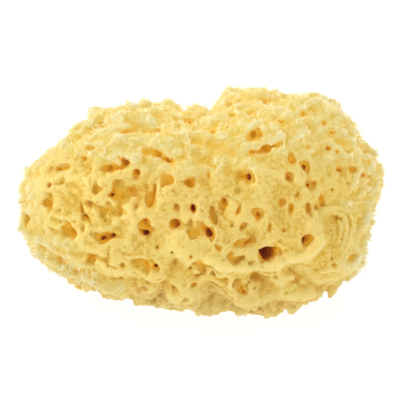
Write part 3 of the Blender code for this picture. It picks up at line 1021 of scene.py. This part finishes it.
def spikes(roots, ways, curls, widths):
    """A place on a fibre's axis is root + way t + curl t squared. Round each ring's place the corners lie at
    width times a taper, and the tip closes the last ring."""
    across = unit(np.cross(ways, curls + ASIDE))
    upwards = unit(np.cross(across, ways))
    turns = np.arange(FIBRE_SIDES) * 2 * math.pi / FIBRE_SIDES
    rings = []
    for share in FIBRE_RINGS:
        axis = roots + ways * share + curls * share ** 2
        reach = widths * (0.5 - FIBRE_TAPER * share)
        for turn in turns:
            rings.append(axis + reach * (math.cos(turn) * across + math.sin(turn) * upwards))
    rings.append(roots + ways + curls)
    points = np.stack(rings, axis=1)
    corners = spike_faces() + (np.arange(len(roots)) * len(rings))[:, None, None]
    return points.reshape(-1, 3), corners.reshape(-1, 3)


print("triangles of a fibre", len(spike_faces()))

# %% The lie of the fibres
FIBRE_LENGTHS = (0.5, 1.9)
LENGTH_POWER = 1.5
LENGTH_CHANCE = (0.7, 1.25)
LONGEST_INSIDE = 1.25
SHORTER_OUTWARDS = 0.6
SHORTEST = 0.35
UPRIGHTNESS = 0.7
STRAGGLE = 0.5
GATHERING = 0.4
CURL = 0.45
FIBRE_WIDTH = 0.38
WIDTH_CHANCE = (0.6, 1.2)
STRAY_SHARE = 0.015
STRAY_STRETCH = 2.3


def fleece_fibres(roots, normals, random):
    """Ways, curls and widths. A fibre points away from the sponge and from its skin, leans towards its
    crumb's middle, and is the longer the nearer to that middle it grows. A few are strays, longer and
    freer."""
    one_each = (len(roots), 1)
    _, _, lot, towards = crumbs(roots - middle)
    outwards = unit(unit(roots - middle) + UPRIGHTNESS * normals)
    sideways = towards - (towards * outwards).sum(axis=1, keepdims=True) * outwards
    off_centre = np.linalg.norm(sideways, axis=1, keepdims=True) / (0.5 * CRUMB_BUBBLE)
    shortest, longest = FIBRE_LENGTHS
    lengths = shortest + (longest - shortest) * lot[:, None] ** LENGTH_POWER
    lengths = lengths * np.clip(LONGEST_INSIDE - SHORTER_OUTWARDS * off_centre, SHORTEST, None)
    lengths = lengths * random.uniform(*LENGTH_CHANCE, one_each)
    ways = lengths * unit(outwards + STRAGGLE * random.normal(size=roots.shape)) + GATHERING * sideways
    curls = CURL * lengths * random.normal(size=roots.shape)
    widths = FIBRE_WIDTH * random.uniform(*WIDTH_CHANCE, one_each)
    stretch = np.where(random.random(one_each) < STRAY_SHARE, STRAY_STRETCH, 1.0)
    return ways * stretch, curls * stretch, widths


# %% Where the fibres grow
FIBRES = 44_000
FIBRE_SEED = 91
STANDING_OUT = (0.62, 0.38)
CLOSE_TO_THE_SKIN = (3.2, 1.5)
CLEAR_OF_THE_SEAT = (3.0, 8.0)
ROOT_DEPTH = 0.25


def corners_of(mesh):
    """Three corners for each of the mesh's triangles, in millimetres."""
    mesh.calc_loop_triangles()
    flat = np.empty(3 * len(mesh.loop_triangles), np.int32)
    mesh.loop_triangles.foreach_get("vertices", flat)
    return points_of(mesh)[flat.reshape(-1, 3)]


def scattered_roots(corners, likelihood, count, random):
    """Triangles are drawn with a chance of area times likelihood. The place in each is its first corner, plus
    s of the way to the second and t of the way to the third. Where s and t add up to more than 1, both are
    taken from 1, so that the places are even."""
    first, second, third = corners.transpose(1, 0, 2)
    square = np.cross(second - first, third - first)
    area = np.linalg.norm(square, axis=1) + ALMOST_NOUGHT
    chance = area * likelihood
    drawn = random.choice(len(corners), count, p=chance / chance.sum())
    s, t = random.random((2, count, 1))
    folded = s + t > 1
    s, t = np.where(folded, 1 - s, s), np.where(folded, 1 - t, t)
    roots = first[drawn] + (second - first)[drawn] * s + (third - first)[drawn] * t
    return roots, square[drawn] / area[drawn, None]


random = np.random.default_rng(FIBRE_SEED)
body_corners = corners_of(body_mesh)
body_places = body_corners.mean(axis=1)
root_shares = shares_of(body_places)
stands_out = ease(root_shares["near"], *STANDING_OUT) * ease(root_shares["depth"], *CLOSE_TO_THE_SKIN)
clear_of_seat = ease(body_places[:, 2], *CLEAR_OF_THE_SEAT)
likelihood = (1 - root_shares["open"]) * stands_out * clear_of_seat + ALMOST_NOUGHT
fibre_count = FIBRES
roots, normals = scattered_roots(body_corners, likelihood, fibre_count, random)
roots = roots - ROOT_DEPTH * normals
ways, curls, widths = fleece_fibres(roots, normals, random)
print("fibres", fibre_count, "up to", np.linalg.norm(ways, axis=1).max().round(1), "mm long")

# %% [markdown]
# The fibres are parted into four pieces by where they stand round the sponge, so that none is too large.

# %% Four pieces of fleece
FLEECE_PIECES = ("fleece_front_left", "fleece_front_right", "fleece_back_right", "fleece_back_left")
OVER_THE_SEAT = 0.05

order = np.argsort(np.arctan2(roots[:, 1], roots[:, 0]))
fleece_meshes = []
for name, chosen in zip(FLEECE_PIECES, np.array_split(order, len(FLEECE_PIECES))):
    points, faces = spikes(roots[chosen], ways[chosen], curls[chosen], widths[chosen])
    points[:, 2] = np.clip(points[:, 2], OVER_THE_SEAT, None)
    mesh = mesh_from(name, points, faces)
    carry(mesh, shares_of(points_of(mesh)))
    new_piece(name, mesh)
    fleece_meshes.append(mesh)
    print(name, len(faces), "triangles")

# %% [markdown]
# Shader maths reads best as ordinary expressions, so a small class wraps a socket and adds the maths nodes.

# %% Expressions that become nodes
class Value:
    """A socket of a material's node tree. Sums, differences and products of values add their Math nodes."""

    def __init__(self, finish, socket):
        self.finish = finish
        self.socket = socket

    def _math(self, operation, first, second):
        """A Math node with this operation between two values or numbers."""
        return self.finish.node("ShaderNodeMath", {"operation": operation}, {0: first, 1: second})

    def __add__(self, other):
        return self._math("ADD", self, other)

    def __sub__(self, other):
        return self._math("SUBTRACT", self, other)

    def __rsub__(self, other):
        return self._math("SUBTRACT", other, self)

    def __mul__(self, other):
        return self._math("MULTIPLY", self, other)


# %% [markdown]
# A finish could be put together by hand in the node editor. A script is better off with one way to add a
# node: its settings come first, because they decide which sockets it has, and then each socket gets its
# value or link.

# %% A finish and its nodes
# Sockets whose names repeat are told apart by their numbers.
MIX_SHARE, MIX_FIRST, MIX_SECOND, MIX_RESULT = 0, 6, 7, 2
SCALED, SCALE = 0, 3


class Finish:
    """A material and the one way to add nodes to it."""

    def __init__(self, name):
        self.material = bpy.data.materials.new(name)
        self.material.use_nodes = True
        self.tree = self.material.node_tree
        self.shader = self.tree.nodes["Principled BSDF"]

    def node(self, kind, settings=None, inputs=None, output=0):
        """A node of a kind: settings first, then each input's value or link, and one output as a Value."""
        made = self.tree.nodes.new(kind)
        for name, setting in (settings or {}).items():
            if name == "stops":
                self._set_stops(made.color_ramp, setting)
            else:
                setattr(made, name, setting)
        for name, value in (inputs or {}).items():
            self.feed(made.inputs[name], value)
        return Value(self, made.outputs[output])

    def _set_stops(self, ramp, stops):
        """Each stop is a place on the ramp from 0 to 1 and a colour."""
        while len(ramp.elements) < len(stops):
            ramp.elements.new(1)
        for element, (place, colour) in zip(ramp.elements, stops):
            element.position = place
            element.color = (*colour, 1)

    def feed(self, socket, value):
        """Links a Value to a socket, or sets a plain number, vector or colour on it."""
        if isinstance(value, Value):
            self.tree.links.new(value.socket, socket)
        else:
            socket.default_value = value

    def surface(self, sockets):
        """Each socket of the shader that is named gets its value or link."""
        for name, value in sockets.items():
            self.feed(self.shader.inputs[name], value)

    def attribute(self, name):
        """What the mesh's points carry under this name."""
        return self.node("ShaderNodeAttribute", {"attribute_name": name}, output="Fac")

    def noise(self, place, scale, detail, roughness=0.5):
        """Cloudy noise from 0 to 1, with this many clouds to the metre."""
        inputs = {"Vector": place, "Scale": scale, "Detail": detail, "Roughness": roughness}
        return self.node("ShaderNodeTexNoise", {}, inputs)

    def ramp(self, share, stops):
        """The colour at this share of the way through the stops."""
        return self.node("ShaderNodeValToRGB", {"stops": stops}, {"Fac": share}, output="Color")

    def mix(self, share, first, second):
        """The first colour where the share is 0, the second where it is 1."""
        inputs = {MIX_SHARE: share, MIX_FIRST: first, MIX_SECOND: second}
        return self.node("ShaderNodeMix", {"data_type": "RGBA"}, inputs, output=MIX_RESULT)

    def step(self, value, start, end):
        """0 where the value is at start, 1 where it is at end, and an S-shaped curve between."""
        settings = {"interpolation_type": "SMOOTHSTEP"}
        return self.node("ShaderNodeMapRange", settings, {"Value": value, "From Min": start, "From Max": end})

    def scaled(self, colour, amount):
        """The colour made darker or brighter."""
        return self.node("ShaderNodeVectorMath", {"operation": "SCALE"}, {SCALED: colour, SCALE: amount})


# %% [markdown]
# How shut in a place is picks a colour from cream to gold, from one ramp on the open face and another in the
# fleece: a painted highlight where a place stands out and painted shade where it is shut in. The depth under
# the skin leads from there to the orange and brown of the channels, which is painted shade and painted light
# that has soaked through the fibre. A fine froth and specks of noise stand for pores under a millimetre, with
# painted shade in them, because as holes they would need a hundred times the faces.

# %% Colours of the fibre, with painted shade and highlight
# Painted highlight at the first stops, painted shade towards the last, chosen by how shut in a place is.
FACE_SHADED_COLOURS = (
    (0.00, (0.905, 0.705, 0.225)),
    (0.25, (0.860, 0.600, 0.125)),
    (0.50, (0.800, 0.500, 0.074)),
    (0.75, (0.725, 0.410, 0.046)),
    (1.00, (0.640, 0.330, 0.028)),
)
FLEECE_SHADED_COLOURS = (
    (0.00, (0.920, 0.860, 0.540)),
    (0.18, (0.920, 0.810, 0.410)),
    (0.40, (0.920, 0.755, 0.290)),
    (0.65, (0.925, 0.680, 0.165)),
    (0.90, (0.930, 0.580, 0.075)),
)
CHANNEL_SHADED_COLOURS = (
    (0.15, (0.890, 0.590, 0.080)),
    (0.26, (0.850, 0.480, 0.040)),
    (0.36, (0.740, 0.340, 0.017)),
    (0.46, (0.490, 0.165, 0.010)),
    (0.57, (0.260, 0.052, 0.008)),
    (0.80, (0.150, 0.022, 0.008)),
)
# Painted shade on the skin that faces down, where less light reaches it.
UNDERSIDE_SHADE_COLOUR = (0.680, 0.540, 0.250, 1)
# Painted shade: dark specks for pores under a millimetre, too small to be holes in the mesh.
SPECK_SHADE_COLOUR = (0.640, 0.280, 0.010, 1)
DEEPEST = 14.0

# %% [markdown]
# Noise is laid over the colours so that no ramp shows as bands: broad patches, tufts of the fleece and fine
# grain. Each has its middle at a half, so a half is taken off before it is weighed against the rest.

# %% How the patterns are weighed
HALF = 0.5
BARE = 0.35
BY_NEAR, BY_FAR, BY_PATCHES = 1.1, 0.8, 0.4
TINY_PORE_EDGE = 0.45
# The depth under the skin adds painted shade: deeper places turn more gold and orange.
FACE_START, FACE_BY_DEPTH, FACE_BY_TINY_PORES, FACE_BY_GRAIN = -0.04, 0.11, 0.5, 0.9
FLEECE_START, FLEECE_BY_DEPTH, FLEECE_BY_SHUT_IN = 0.40, 0.07, 0.7
FLEECE_BY_GRAIN, FLEECE_BY_TUFTS = 0.5, 0.65
SPECK_SHARE, SPECK_PATCHES, SPECK_EDGE = 0.5, 0.5, (0.70, 0.76)
UNDERSIDE_SHADE_SHARE, UNDERSIDE_SHADE_EDGE = 0.35, (0.36, 0.08)
CHANNEL_PATCHES, CHANNEL_EDGE = 0.1, (2.1, 4.8)


def skin_colour(finish, near, far, depth, open_face, sky, patterns):
    """Two ramps of painted shade and highlight, read by sums of what is carried and of noise, mixed by the
    face's share, then specks of painted shade and the painted shade of the skin that faces down laid over
    them."""
    patches, grain, tufts, tiny_pores, speckle = patterns
    # How shut in a place is sets its painted shade; where it stands out it gets a painted highlight.
    shut_in = (near - BARE) * BY_NEAR + (far - BARE) * BY_FAR + (patches - HALF) * BY_PATCHES
    # Depth and the tiny pores of the fine froth add painted shade on the open face.
    on_face = shut_in + depth * FACE_BY_DEPTH + (TINY_PORE_EDGE - tiny_pores) * FACE_BY_TINY_PORES
    on_face = on_face + (grain - HALF) * FACE_BY_GRAIN + FACE_START
    in_fleece = shut_in * FLEECE_BY_SHUT_IN + depth * FLEECE_BY_DEPTH + (grain - HALF) * FLEECE_BY_GRAIN
    in_fleece = in_fleece + (tufts - HALF) * FLEECE_BY_TUFTS + FLEECE_START
    skin = finish.mix(open_face, finish.ramp(in_fleece, FLEECE_SHADED_COLOURS), finish.ramp(on_face, FACE_SHADED_COLOURS))
    # Specks of painted shade for the tiny pores of the open face.
    specks = finish.step(speckle + (patches - HALF) * SPECK_PATCHES, *SPECK_EDGE) * open_face * SPECK_SHARE
    # Painted shade laid over the skin that faces down, by the share of the sky it is turned to.
    beneath = finish.step(sky, *UNDERSIDE_SHADE_EDGE) * UNDERSIDE_SHADE_SHARE
    return finish.mix(beneath, finish.mix(specks, skin, SPECK_SHADE_COLOUR), UNDERSIDE_SHADE_COLOUR)


# %% [markdown]
# Light soaks through the fibre and leaks out again, most of all on top, in the loose fleece and in the
# mouths of the channels. Scattering under the surface does part of that, but the finest webs aren't in the
# mesh, so the rest of each colour is given off as a glow. The finish is dull, with a little sheen where
# fibres stand on end.

# %% The sponge's finish
LIT_FACE, LIT_FLEECE, LIT_IN_CHANNELS = 0.76, 0.48, 0.42
GLOW_FACE, GLOW_FLEECE, GLOW_IN_CHANNELS = 0.21, 0.39, 0.63
GLOW_BENEATH, GLOW_BY_SKY = 0.7, 0.6
PATCHES_PER_METRE, GRAIN_PER_METRE, TUFTS_PER_METRE = 60.0, 900.0, 260.0
TINY_PORES_PER_METRE, SPECKS_PER_METRE = 720.0, 520.0
GRAIN_ROUGHNESS = 0.7
TINY_PORE_DEPTH = 0.6
FUZZ = {"Strength": 0.5, "Distance": 0.0005}
SOFT_FIBRE = {
    "Emission Strength": 1.0,
    "Roughness": 0.9,
    "Specular IOR Level": 0.1,
    "Sheen Weight": 0.16,
    "Sheen Roughness": 0.5,
    "Sheen Tint": (1.0, 0.97, 0.86, 1),
    "Subsurface Weight": 0.8,
    "Subsurface Radius": (1.0, 0.8, 0.4),
    "Subsurface Scale": 0.0026,
}


def sponge_finish():
    """The skin's colour gives way to the channels' painted shade with depth. Each colour times lit is the
    shader's own, and times glow is given off as painted light. Grain and tiny pores make the bump."""
    finish = Finish("sponge_fibre_soft")
    near, far, depth, open_face, sky = map(finish.attribute, ("near", "far", "depth", "open", "sky"))
    place = finish.node("ShaderNodeTexCoord", output="Object")
    patches = finish.noise(place, PATCHES_PER_METRE, detail=3.0)
    grain = finish.noise(place, GRAIN_PER_METRE, detail=3.0, roughness=GRAIN_ROUGHNESS)
    tufts = finish.noise(place, TUFTS_PER_METRE, detail=2.0)
    speckle = finish.noise(place, SPECKS_PER_METRE, detail=1.0)
    bubbles = {"Vector": place, "Scale": TINY_PORES_PER_METRE}
    tiny_pores = finish.node("ShaderNodeTexVoronoi", {}, bubbles, output="Distance")
    patterns = (patches, grain, tufts, tiny_pores, speckle)
    skin = skin_colour(finish, near, far, depth, open_face, sky, patterns)
    # Painted shade and soaked-through light: the deeper a place in a channel, the darker and more orange it
    # is.
    deep = depth * (1 / DEEPEST) + (patches - HALF) * CHANNEL_PATCHES
    inwards = finish.step(depth, *CHANNEL_EDGE)
    colour = finish.mix(inwards, skin, finish.ramp(deep, CHANNEL_SHADED_COLOURS))
    skin_lit = open_face * (LIT_FACE - LIT_FLEECE) + LIT_FLEECE
    lit = skin_lit + inwards * (LIT_IN_CHANNELS - skin_lit)
    skin_glow = (open_face * (GLOW_FACE - GLOW_FLEECE) + GLOW_FLEECE) * (sky * GLOW_BY_SKY + GLOW_BENEATH)
    glow = skin_glow + inwards * (GLOW_IN_CHANNELS - skin_glow)
    height = grain - (HALF - tiny_pores) * TINY_PORE_DEPTH
    fuzz = finish.node("ShaderNodeBump", {}, {"Height": height, **FUZZ}, output="Normal")
    colours = {"Base Color": finish.scaled(colour, lit), "Emission Color": finish.scaled(colour, glow)}
    finish.surface({**colours, "Normal": fuzz, **SOFT_FIBRE})
    return finish.material


fibre_finish = sponge_finish()
for mesh in (body_mesh, *fleece_meshes):
    mesh.materials.clear()
    mesh.materials.append(fibre_finish)
print("nodes of the finish", len(fibre_finish.node_tree.nodes))

# %% [markdown]
# The photograph has no shadow, and its ground is white to the edges. A lit floor alone would turn grey under
# the sponge, so the floor is dark paper that gives off nearly all of its white, and only a trace of shadow
# shows.

# %% The floor
FLOOR_REACH = 40.0
CORNER_SIGNS = ((-1, -1), (1, -1), (1, 1), (-1, 1))
WHITE = (1, 1, 1, 1)
WHITE_PAPER = {
    "Base Color": (0.12, 0.12, 0.12, 1),
    "Roughness": 1.0,
    "Specular IOR Level": 0.0,
    "Emission Color": WHITE,
    "Emission Strength": 0.93,
}

floor_mesh = bpy.data.meshes.new("floor")
floor_mesh.from_pydata([(x * FLOOR_REACH, y * FLOOR_REACH, 0) for x, y in CORNER_SIGNS], [], [(0, 1, 2, 3)])
floor = placed("floor", floor_mesh)
paper = Finish("white_paper")
paper.surface(WHITE_PAPER)
floor_mesh.materials.append(paper.material)
print("floor", 2 * FLOOR_REACH, "m square")

# %% [markdown]
# The light is a studio's: white from all round, and one broad lamp on the left that is higher than the
# sponge. Its rays graze the top, so the clumps of the fleece and the webs of the face get soft shades on
# their right.

# %% The light
WORLD_STRENGTH = 0.80
LAMP_SIZE = 0.9
LAMP_POWER = 4.3
LAMP_PLACE = (-0.84, -0.12, 0.62)
LAMP_AIM = (0, 0, 0.04)

world = bpy.data.worlds.new("studio")
world.use_nodes = True
background = world.node_tree.nodes["Background"]
background.inputs["Color"].default_value = WHITE
background.inputs["Strength"].default_value = WORLD_STRENGTH
bpy.context.scene.world = world


def soft_light(name, size, power, place):
    """A square lamp of this size in metres and power in watts, turned so that it shines at the sponge."""
    light = bpy.data.lights.new(name, "AREA")
    light.shape = "SQUARE"
    light.size = size
    light.energy = power
    lamp = placed(name, light)
    lamp.location = place
    lamp.rotation_mode = "QUATERNION"
    lamp.rotation_quaternion = (Vector(place) - Vector(LAMP_AIM)).to_track_quat("Z", "Y")


soft_light("overhead", LAMP_SIZE, LAMP_POWER, LAMP_PLACE)
print("lamp", round((Vector(LAMP_PLACE) - Vector(LAMP_AIM)).length, 2), "m from the sponge")

# %% [markdown]
# The camera stands where the viewer of the leaning frame does. Its long lens is what makes the sponge as
# wide in the picture as it is in the photograph.

# %% The camera
LENS = 120.1
SENSOR_WIDTH = 36
CLIP_START = 0.01

camera_data = bpy.data.cameras.new("camera")
camera_data.lens = LENS
camera_data.sensor_width = SENSOR_WIDTH
camera_data.clip_start = CLIP_START
camera = placed("camera", camera_data)
camera.location = (np.array((0, 0, MIDDLE_HEIGHT)) + VIEW_DISTANCE * frame_of(0, 0, 1.0)) * METRES
camera.rotation_euler = (math.radians(90) - LEAN, 0, 0)
bpy.context.scene.camera = camera
bpy.context.scene.view_settings.view_transform = "Standard"
print("camera at", [round(v, 3) for v in camera.location], "m")
